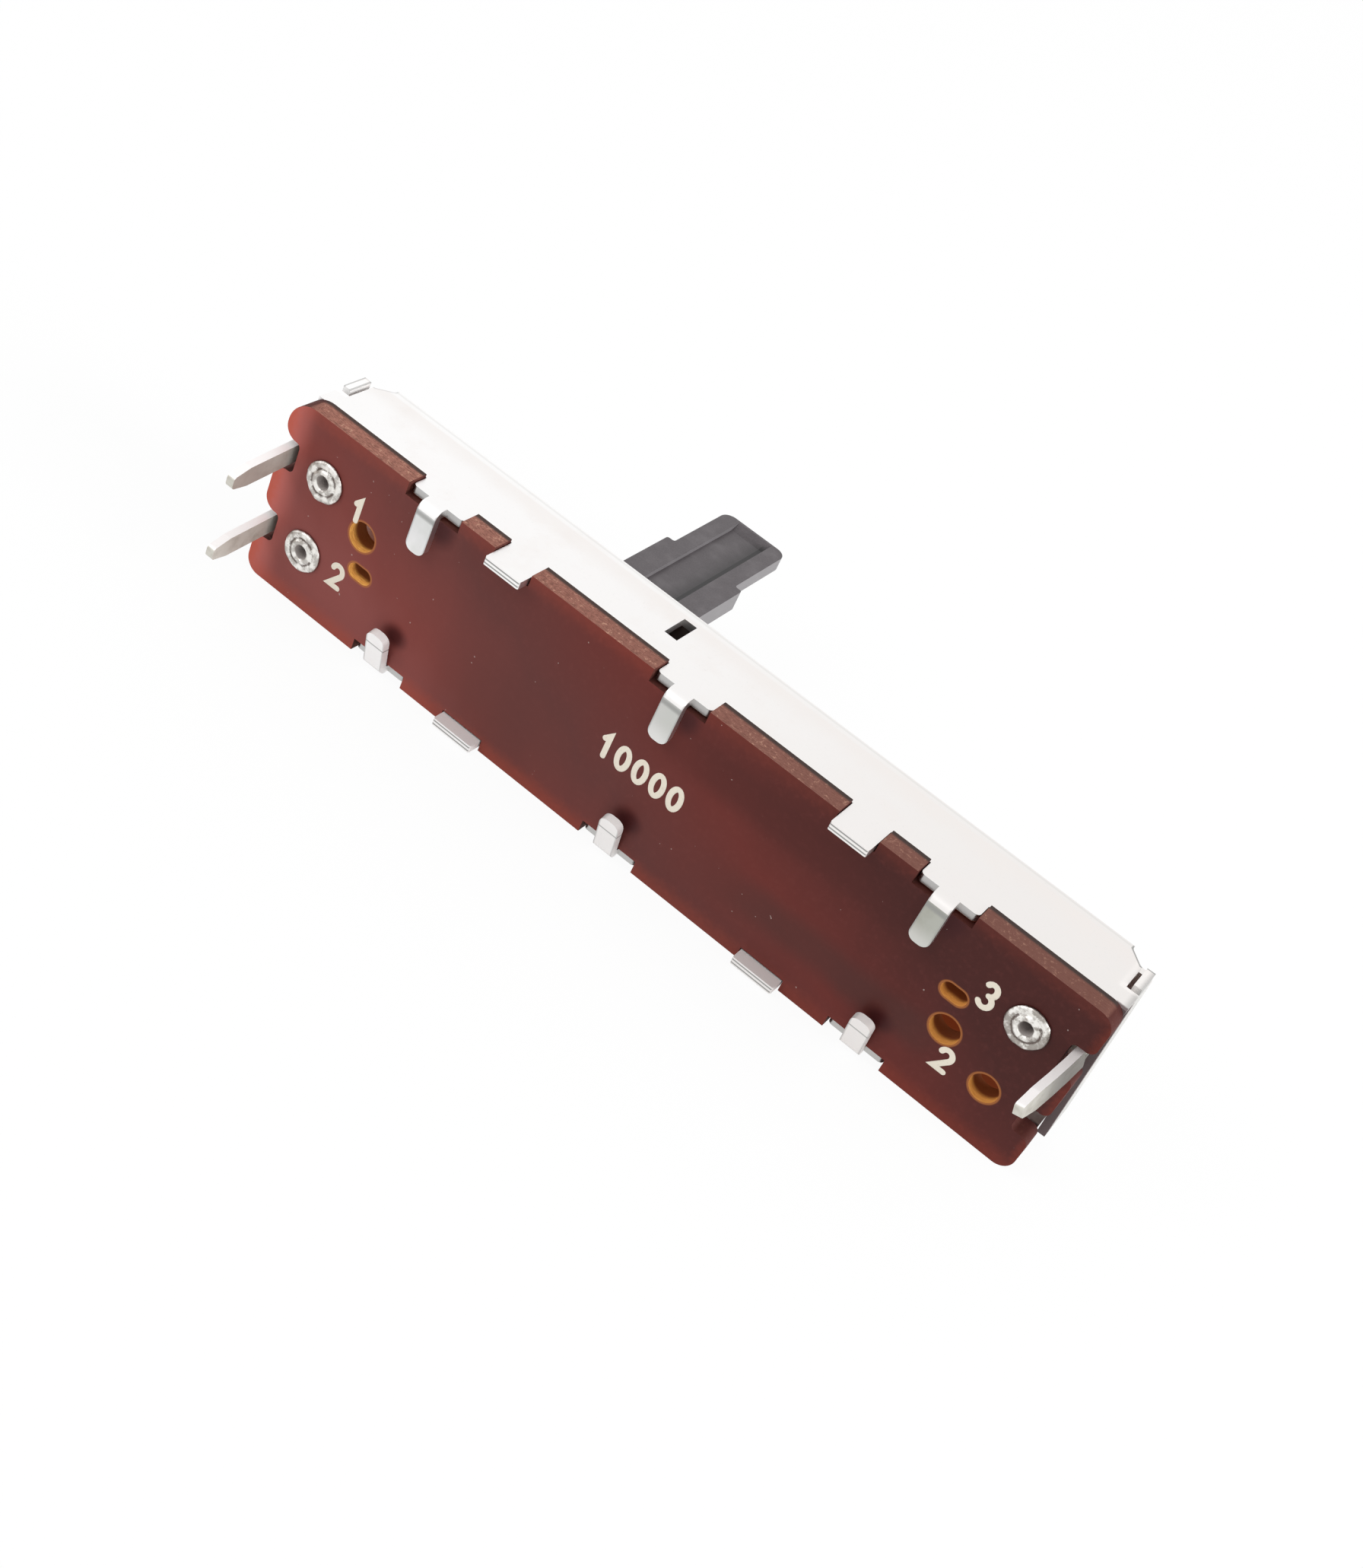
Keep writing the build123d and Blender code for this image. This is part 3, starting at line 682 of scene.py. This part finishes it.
def ribbon(stroke, width):
    """A stroke's points with its left and right edges, mitred at the bends, and whether it closes on itself."""
    closed = math.dist(stroke[0], stroke[-1]) < SAME_PLACE
    points = stroke[:-1] if closed else stroke
    count = len(points)
    left, right = [], []
    for i, here in enumerate(points):
        before = points[(i - 1) % count] if closed or i else None
        after = points[(i + 1) % count] if closed or i < count - 1 else None
        one = direction(before, here) if before else direction(here, after)
        two = direction(here, after) if after else one
        across = (-(one[1] + two[1]), one[0] + two[0])
        size = math.hypot(*across) or 1.0
        across = (across[0] / size, across[1] / size)
        bend = max(SHARPEST_MITRE, across[0] * -one[1] + across[1] * one[0])
        reach = width / 2 / bend
        left.append((here[0] + across[0] * reach, here[1] + across[1] * reach))
        right.append((here[0] - across[0] * reach, here[1] - across[1] * reach))
    return points, left, right, closed


def ink_mesh(name, strokes, middle, width, base_thickness):
    """Ink of an even width on the board's face: a flat bead with softly rounded sides and ends."""
    points, faces = [], []
    for number, stroke in enumerate(strokes):
        line, left, right, closed = ribbon(stroke, width)
        thickness = base_thickness * (1 + 0.1 * (number % 2))
        rows = []
        for here, far_left, far_right in zip(line, left, right):
            row = []
            sides = [(far_left, level) for level in INK_LEVELS]
            sides += [(far_right, level) for level in reversed(INK_LEVELS)]
            for far, (share, rise) in sides:
                u = here[0] + (far[0] - here[0]) * share
                v = here[1] + (far[1] - here[1]) * share
                row.append(len(points))
                points.append((middle[0] + u, BOARD_FACE - rise * thickness, middle[1] + v))
            rows.append(row)
        pairs = list(zip(rows, rows[1:])) + ([(rows[-1], rows[0])] if closed else [])
        for one, two in pairs:
            for a in range(len(one) - 1):
                faces.append((one[a], one[a + 1], two[a + 1], two[a]))
        if not closed:
            for row, here, toward in ((rows[0], line[0], line[1]), (rows[-1], line[-1], line[-2])):
                faces += round_end(points, row, here, toward, middle, width, thickness)
    mesh = mesh_from(name, points, faces)
    weld(mesh)
    return mesh


def round_end(points, row, here, toward, middle, width, thickness):
    """Closes a stroke with a half-round cap."""
    out = Vector(direction(toward, here)) * (width / 2)
    corner = points[row[0]]
    left = Vector((corner[0] - middle[0] - here[0], corner[2] - middle[1] - here[1]))
    rings = [row[:3]]
    for step in range(1, INK_END_STEPS):
        turn = math.pi * step / INK_END_STEPS
        ring = []
        for share, rise in INK_LEVELS:
            spot = left * math.cos(turn) * share + out * math.sin(turn) * share
            ring.append(len(points))
            points.append((middle[0] + here[0] + spot.x, BOARD_FACE - rise * thickness, middle[1] + here[1] + spot.y))
        rings.append(ring)
    rings.append(row[:2:-1])
    faces = []
    for one, two in zip(rings, rings[1:]):
        faces += [(one[0], one[1], two[1], two[0]), (one[1], one[2], two[2], two[1])]
    faces.append(tuple(ring[2] for ring in rings))
    return faces


# Eyelets

HEAD_PROFILE = [
    (0.97, 0.0), (1.0, 0.22), (0.98, 0.48), (0.92, 0.68), (0.82, 0.75),
    (0.72, 0.66), (0.65, 0.52), (0.59, 0.66), (0.52, 0.94), (0.45, 1.0),
]
EYELET_STEPS = 56
RIM_UNEVENNESS, RIM_NOISE, RIM_SEED = 0.03, 2.2, 7.3
DENT_NOISE, DENT_SEED = 2600, 3.1


def eyelet_profile(shape, depth):
    """Radius and height over the board of each ring, from the head's edge through the bore to the inner flare."""
    bore, rise, flare = shape.bore_radius, shape.head_rise, 0.98 * MM
    head = [(shape.head_radius * share, rise * height) for share, height in HEAD_PROFILE]
    tube = [
        (bore * 1.18, rise * 0.9), (bore * 1.04, rise * 0.6), (bore, -0.3 * MM), (bore, -depth * 0.8),
        (bore * 1.05, -depth * 0.95), (bore * 1.35, -depth),
    ]
    turned = [
        (flare - 0.02 * MM, 0.05 * MM - depth), (flare, 0.16 * MM - depth), (bore * 1.6, 0.18 * MM - depth),
    ]
    return head + tube + turned


def eyelet_mesh(name, middle, shape, seed):
    """A pressed tubular eyelet: a rolled, dented head with an uneven rim, a bore and a flared inner end."""
    profile = eyelet_profile(shape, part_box(name)[1].y - BOARD_FACE)
    head_end = len(HEAD_PROFILE)
    points, faces = [], []
    for step in range(EYELET_STEPS):
        turn = 2 * math.pi * step / EYELET_STEPS
        u, v = math.cos(turn), math.sin(turn)
        uneven = 1 + RIM_UNEVENNESS * noise.noise(Vector((u * RIM_NOISE, v * RIM_NOISE, seed * RIM_SEED)))
        for place, (radius, height) in enumerate(profile):
            reach = radius * uneven if place <= head_end else radius
            if 1 < place < head_end:
                spot = Vector((u * radius * DENT_NOISE, v * radius * DENT_NOISE, seed * DENT_SEED))
                height += shape.dents * noise.noise(spot)
            points.append((middle.x + u * reach, BOARD_FACE - height, middle.z + v * reach))
    size = len(profile)
    for step in range(EYELET_STEPS):
        here, after = step * size, (step + 1) % EYELET_STEPS * size
        for place in range(size - 1):
            faces.append((here + place, here + place + 1, after + place + 1, after + place))
    mesh = mesh_from(name + "_rolled", points, faces)
    weld(mesh)
    return mesh


# Sizes and colours that a user would change

def colour_property(name, description, default):
    return bpy.props.FloatVectorProperty(
        name=name, description=description, default=default, subtype="COLOR", size=3, min=0.0, max=1.0,
    )


def length_property(name, description, default):
    return bpy.props.FloatProperty(
        name=name, description=description, default=default, subtype="DISTANCE", unit="LENGTH", precision=5,
    )


class PotentiometerColours(bpy.types.PropertyGroup):
    """Colours of the finishes."""
    sheet: colour_property("Sheet", "Tin-plated sheet", (0.97, 0.96, 0.955))
    # Painted shade: the colour that the sheet darkens to toward its right end.
    sheet_shade: colour_property("Sheet shade", "Duller end of the sheet", (0.86, 0.83, 0.81))
    sheet_warm: colour_property("Sheet warm", "Warm patches of the sheet", (0.88, 0.83, 0.80))
    sheet_panel: colour_property("Sheet panel", "Satin faces that meet the panel", (0.74, 0.735, 0.72))
    sheet_rolled: colour_property("Sheet rolled", "Rolling lines of the satin faces", (0.62, 0.61, 0.595))
    end_satin: colour_property("End satin", "Outer face of the right end plate", (0.56, 0.555, 0.54))
    end_rolled: colour_property("End rolled", "Rolling lines of the right end plate", (0.43, 0.425, 0.41))
    # Also the painted shade line along the panel bend.
    sheet_worked_and_bend_shade: colour_property("Worked sheet", "Bent tabs and edges of the sheet", (0.58, 0.60, 0.565))
    # Also painted shade: the tabs' turns, the shoulders, the wall's right end and the right lug.
    sheet_dark: colour_property("Sheet dark", "Tight turns, cut lines and outlines of the sheet", (0.30, 0.30, 0.29))
    # Painted shade of the near crimp tabs, at the left end and at the right end.
    tab_shade_left: colour_property("Tab light", "Crimp tabs at the left end", (0.78, 0.78, 0.78))
    tab_shade_right: colour_property("Tab beige", "Crimp tabs at the right end", (0.40, 0.40, 0.35))
    # Darker colour of the right end plate under its lug.
    end_dull: colour_property("Dull end", "Worn end plate", (0.155, 0.115, 0.115))
    # Painted light: brown of the housing's inside, as lit through the board.
    inside_painted_light: colour_property("Sheet inside", "Stained inside of the housing", (0.20, 0.10, 0.06))
    # Painted shadow along the board's seam with the housing.
    seam: colour_property("Seam", "Dark seam along the board", (0.035, 0.028, 0.026))
    board_light: colour_property("Board light", "Lighter end of the board", (0.245, 0.066, 0.058))
    board_glow: colour_property("Board glow", "Thin lobes of the lighter end", (0.47, 0.125, 0.105))
    board_muted: colour_property("Board muted", "Duller streaks of the board", (0.055, 0.024, 0.021))
    # Painted shadow beside the crimp tabs.
    board_shade: colour_property("Board shade", "Soiled patches by the tabs", (0.045, 0.008, 0.009))
    board_left: colour_property("Board left", "Lighter half of the board", (0.20, 0.045, 0.037))
    board: colour_property("Board", "Face of the board", (0.118, 0.033, 0.029))
    board_warm: colour_property("Board warm", "Redder middle of the board", (0.135, 0.024, 0.019))
    board_dark: colour_property("Board dark", "Darker end of the board", (0.060, 0.0130, 0.0110))
    board_rim: colour_property("Board rim", "Thin translucent edges", (0.48, 0.075, 0.035))
    board_cut: colour_property("Board cut", "Fibrous cut edge", (0.36, 0.155, 0.115))
    board_cut_warm: colour_property("Board cut warm", "Fibrous cut edge at the dark end", (0.20, 0.09, 0.072))
    board_cut_dark: colour_property("Board cut dark", "Darker fibres of the cut edge", (0.15, 0.06, 0.045))
    board_fleck: colour_property("Board fleck", "Light flecks of the cut edge", (0.60, 0.34, 0.24))
    board_deep: colour_property("Board deep", "Cut edges of the notches", (0.060, 0.010, 0.008))
    glow_through: colour_property("Glow through", "Light that the board lets into the housing", (0.28, 0.05, 0.014))
    dust: colour_property("Dust", "Specks of dust", (0.60, 0.50, 0.46))
    hole_amber: colour_property("Hole amber", "Light wall of the holes", (0.82, 0.46, 0.12))
    hole_brown: colour_property("Hole brown", "Darker wall of the holes", (0.40, 0.15, 0.032))
    hole_rim: colour_property("Hole rim", "Thin edge round the holes", (0.42, 0.15, 0.04))
    hole_dark: colour_property("Hole dark", "Shaded wall of the holes", (0.09, 0.016, 0.004))
    carbon: colour_property("Carbon", "Resistive print", (0.018, 0.018, 0.018))
    carbon_grain: colour_property("Carbon grain", "Lighter grain of the resistive print", (0.05, 0.05, 0.05))
    silver: colour_property("Silver print", "Silver print", (0.70, 0.69, 0.65))
    silver_tarnish: colour_property("Silver tarnish", "Tarnished patches of the silver print", (0.42, 0.37, 0.30))
    terminal: colour_property("Terminal", "Plated terminal strip", (0.66, 0.64, 0.58))
    terminal_shade: colour_property("Terminal shade", "Duller patches of the terminals", (0.46, 0.43, 0.37))
    # Painted shade of the left pins' faces toward +x.
    terminal_taupe: colour_property("Terminal taupe", "Stamped faces at the left end", (0.30, 0.235, 0.21))
    # Painted highlight of the terminals' upward faces.
    terminal_highlight: colour_property("Terminal bright", "Freshly cut edges of the terminals", (0.95, 0.92, 0.91))
    # Painted shade of the right pin's face toward +x.
    terminal_face_shade: colour_property("Terminal dark", "Tarnished side of the right terminal", (0.05, 0.042, 0.035))
    rivet: colour_property("Eyelet", "Tinned eyelet", (0.90, 0.88, 0.84))
    rivet_bore: colour_property("Eyelet bore", "Inside of the eyelet", (0.42, 0.38, 0.36))
    rivet_shade: colour_property("Eyelet shade", "Dents of the eyelet", (0.38, 0.35, 0.32))
    # Painted shade of the head's groove and painted shadow at its foot.
    rivet_painted_shade: colour_property("Eyelet dirt", "Foot and rings of the eyelet", (0.10, 0.07, 0.06))
    lever: colour_property("Lever", "Dark plastic", (0.068, 0.057, 0.062))
    lever_dark: colour_property("Lever dark", "Corner of the lever's channel", (0.012, 0.010, 0.011))
    # Painted light of the lever's narrow side.
    lever_lit_side: colour_property("Lever side", "Polished narrow sides of the lever", (0.30, 0.29, 0.30))
    lever_light: colour_property("Lever light", "Lighter speckle of the plastic", (0.15, 0.135, 0.142))
    bronze: colour_property("Bronze", "Spring strip", (0.70, 0.55, 0.28))
    bronze_shade: colour_property("Bronze shade", "Rolling lines of the spring strip", (0.42, 0.33, 0.16))
    ink: colour_property("Ink", "Cream printed ink", (0.80, 0.74, 0.62))
    ink_pinhole: colour_property("Ink pinhole", "Pinholes of the ink", (0.55, 0.42, 0.36))


class PotentiometerSizes(bpy.types.PropertyGroup):
    """Sizes of the dressing."""
    mark_height: length_property("Mark height", "Height of the terminal numbers", 1.3 * MM)
    value_height: length_property("Value height", "Height of the value number", 1.12 * MM)
    stroke_width: length_property("Stroke width", "Width of the printed strokes", 0.28 * MM)
    ink_thickness: length_property("Ink thickness", "Height of the ink over the board", 0.02 * MM)
    digit_gap: length_property("Digit gap", "Space between the digits of the value", 0.42 * MM)
    bore_radius: length_property("Bore radius", "Radius of the eyelet's bore", 0.32 * MM)
    head_radius: length_property("Head radius", "Radius of the eyelet's rolled head", 1.03 * MM)
    head_rise: length_property("Head rise", "Height of the eyelet's rolled head", 0.24 * MM)
    dents: length_property("Dents", "Depth of the dents in the eyelet's head", 0.05 * MM)
    value_text: bpy.props.StringProperty(name="Value", description="Plain number on the board", default="10000")


class StageSettings(bpy.types.PropertyGroup):
    """Light and view."""
    floor_size: length_property("Floor size", "Length of the floor's sides", 1.6)
    key_power: bpy.props.FloatProperty(name="Key", description="Power of the key light", default=2.6, unit="POWER")
    key_size: length_property("Key size", "Width of the key light", 0.30)
    fill_power: bpy.props.FloatProperty(name="Fill", description="Power of the fill light", default=0.7, unit="POWER")
    fill_size: length_property("Fill size", "Width of the fill light", 0.35)
    sky: bpy.props.FloatProperty(name="Sky", description="Strength of the even light", default=0.75)


class PotentiometerProperties(bpy.types.PropertyGroup):
    """Everything that the panel shows."""
    colours: bpy.props.PointerProperty(type=PotentiometerColours, name="Colours", description="Colours of the finishes")
    sizes: bpy.props.PointerProperty(type=PotentiometerSizes, name="Sizes", description="Sizes of the dressing")
    stage: bpy.props.PointerProperty(type=StageSettings, name="Stage", description="Light and view")


# Operators

class POTENTIOMETER_OT_housing(bpy.types.Operator):
    """Finish the folded sheet housing"""
    bl_idname = "potentiometer.housing"
    bl_label = "Housing"

    def execute(self, context):
        paint("housing", plated_sheet(settings_of(context).colours))
        return {"FINISHED"}


class POTENTIOMETER_OT_board(bpy.types.Operator):
    """Finish the board and the tracks and pads printed on it"""
    bl_idname = "potentiometer.board"
    bl_label = "Board and prints"

    def execute(self, context):
        colours = settings_of(context).colours
        paint("board", laminate(colours))
        paint("resistive_track", resist_print(colours))
        silver = silver_print(colours)
        for node in ("collector_track", "pad_1", "pad_2", "pad_3"):
            paint(node, silver)
        return {"FINISHED"}


class POTENTIOMETER_OT_terminals(bpy.types.Operator):
    """Finish the three plated terminals"""
    bl_idname = "potentiometer.terminals"
    bl_label = "Terminals"

    def execute(self, context):
        plating = terminal_plating(settings_of(context).colours)
        for node in ("terminal_1", "terminal_2", "terminal_3"):
            paint(node, plating)
        return {"FINISHED"}


class POTENTIOMETER_OT_eyelets(bpy.types.Operator):
    """Model the pressed eyelets with their rolled heads"""
    bl_idname = "potentiometer.eyelets"
    bl_label = "Eyelets"

    def execute(self, context):
        chosen = settings_of(context)
        metal = rivet_metal(chosen.colours)
        for seed, (name, middle) in enumerate(EYELETS.items()):
            mesh = eyelet_mesh(name, middle, chosen.sizes, seed)
            piece = finished(name + "_rolled", mesh, metal, "base")
            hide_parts(name)
        return {"FINISHED"}


class POTENTIOMETER_OT_slider(bpy.types.Operator):
    """Finish the lever, its wiper and its bow spring"""
    bl_idname = "potentiometer.slider"
    bl_label = "Slider"

    def execute(self, context):
        colours = settings_of(context).colours
        paint("slider", lever_plastic(colours))
        bronze = spring_bronze(colours)
        paint("wiper", bronze)
        paint("bow_spring", bronze)
        return {"FINISHED"}


class POTENTIOMETER_OT_marks(bpy.types.Operator):
    """Print the terminal numbers and the value number"""
    bl_idname = "potentiometer.marks"
    bl_label = "Printed marks"

    def execute(self, context):
        chosen = settings_of(context)
        sizes = chosen.sizes
        cream = ink(chosen.colours)
        marks = {
            "mark_1": ("1", 0.8 * sizes.mark_height, (-17.55, 1.84)),
            "mark_2": ("2", sizes.mark_height, (-17.55, -1.87)),
            "mark_3": ("3", sizes.mark_height, (17.6, 2.03)),
            "mark_4": ("2", sizes.mark_height, (17.55, -2.06)),
            "value_mark": (sizes.value_text, sizes.value_height, (-0.1, 0.0)),
        }
        for name, (text, height, (x, z)) in marks.items():
            strokes = number_outline(text, height, sizes.digit_gap)
            mesh = ink_mesh(name, strokes, (x * MM, z * MM), sizes.stroke_width, sizes.ink_thickness)
            finished(name, mesh, cream, "base")
        return {"FINISHED"}


class POTENTIOMETER_OT_stage(bpy.types.Operator):
    """Set the floor, the soft light and the camera"""
    bl_idname = "potentiometer.stage"
    bl_label = "Stage"

    def execute(self, context):
        stage = settings_of(context).stage
        scene = context.scene
        scene.view_settings.view_transform = "Standard"
        lay_floor(stage)
        light_sky(scene, stage)
        add_lamp("key_light", KEY_PLACE, stage.key_size, stage.key_power)
        add_lamp("fill_light", FILL_PLACE, stage.fill_size, stage.fill_power)
        scene.camera = add_camera()
        return {"FINISHED"}


# Stage, with places in metres, turns in degrees and the lens in millimetres

KEY_PLACE, FILL_PLACE = (0.55, 0.05, 0.22), (-0.35, -0.30, 0.35)
CAMERA_PLACE, CAMERA_TURN = (0.023868, -0.074142, 0.056715), (49.06408, -20.89678, 34.99889)
CAMERA_LENS = 48.935
FLOOR_COLOUR, FLOOR_GLOW = (0.92, 0.92, 0.92), 0.93


def seen_rays(recipe):
    """1 for camera, mirror and see-through rays."""
    rays = ("Is Camera Ray", "Is Glossy Ray", "Is Transmission Ray")
    return reduce(Wire.greater, recipe.add("ShaderNodeLightPath", out=rays))


def lay_floor(stage):
    half = stage.floor_size / 2
    corners = [(-half, -half), (half, -half), (half, half), (-half, half)]
    mesh = mesh_from("floor", [(x, y, FLOOR_LEVEL) for x, y in corners], [(0, 1, 2, 3)], smooth=False)
    r = new_finish("floor_white")
    matt = r.add("ShaderNodeBsdfDiffuse", values={"Color": full(FLOOR_COLOUR)})
    glow = r.add("ShaderNodeEmission", values={"Color": full(WHITE), "Strength": 1.0})
    mixed = r.add("ShaderNodeMixShader", values={0: FLOOR_GLOW * seen_rays(r), 1: matt, 2: glow})
    r.add("ShaderNodeOutputMaterial", values={"Surface": mixed})
    floor = bpy.data.objects.new("floor", mesh)
    floor.data.materials.append(r.owner)
    bpy.context.scene.collection.objects.link(floor)


def light_sky(scene, stage):
    world = bpy.data.worlds.new("sky")
    scene.world = world
    r = Recipe(world)
    white = r.add("ShaderNodeBackground", values={"Color": full(WHITE), "Strength": 1.0})
    soft = r.add("ShaderNodeBackground", values={"Color": full(WHITE), "Strength": stage.sky})
    mixed = r.add("ShaderNodeMixShader", values={0: seen_rays(r), 1: soft, 2: white})
    r.add("ShaderNodeOutputWorld", values={"Surface": mixed})


def add_lamp(name, place, size, power):
    lamp = bpy.data.lights.new(name, "AREA")
    lamp.shape = "DISK"
    lamp.size = size
    lamp.energy = power
    holder = bpy.data.objects.new(name, lamp)
    holder.location = place
    holder.rotation_euler = (-Vector(place)).to_track_quat("-Z", "Y").to_euler()
    bpy.context.scene.collection.objects.link(holder)


def add_camera():
    """The camera at the view of the photograph, solved from the straight edges of the part."""
    camera = bpy.data.cameras.new("camera")
    camera.sensor_fit = "VERTICAL"
    camera.sensor_height = 36.0
    camera.lens = CAMERA_LENS
    camera.clip_start = 0.002
    camera.clip_end = 20.0
    holder = bpy.data.objects.new("camera", camera)
    holder.location = CAMERA_PLACE
    holder.rotation_euler = [math.radians(turn) for turn in CAMERA_TURN]
    bpy.context.scene.collection.objects.link(holder)
    return holder


# The add-on

STEPS = (
    POTENTIOMETER_OT_stage, POTENTIOMETER_OT_housing, POTENTIOMETER_OT_board, POTENTIOMETER_OT_terminals,
    POTENTIOMETER_OT_eyelets, POTENTIOMETER_OT_slider, POTENTIOMETER_OT_marks,
)


class POTENTIOMETER_PT_panel(bpy.types.Panel):
    """Steps, sizes and colours of the potentiometer"""
    bl_idname = "POTENTIOMETER_PT_panel"
    bl_label = "Slide potentiometer"
    bl_space_type = "VIEW_3D"
    bl_region_type = "UI"
    bl_category = "Potentiometer"

    def draw(self, context):
        for step in STEPS:
            self.layout.operator(step.bl_idname)
        chosen = settings_of(context)
        for group in (chosen.sizes, chosen.colours, chosen.stage):
            box = self.layout.box()
            for name in group.__annotations__:
                box.prop(group, name)


GROUPS = (PotentiometerColours, PotentiometerSizes, StageSettings, PotentiometerProperties)
CLASSES = GROUPS + STEPS + (POTENTIOMETER_PT_panel,)


def register():
    for kind in CLASSES:
        bpy.utils.register_class(kind)
    bpy.types.Scene.potentiometer = bpy.props.PointerProperty(type=PotentiometerProperties)


def unregister():
    del bpy.types.Scene.potentiometer
    for kind in reversed(CLASSES):
        bpy.utils.unregister_class(kind)


def main():
    register()
    for step in STEPS:
        group, name = step.bl_idname.split(".")
        getattr(getattr(bpy.ops, group), name)()


if __name__ == "__main__":
    main()
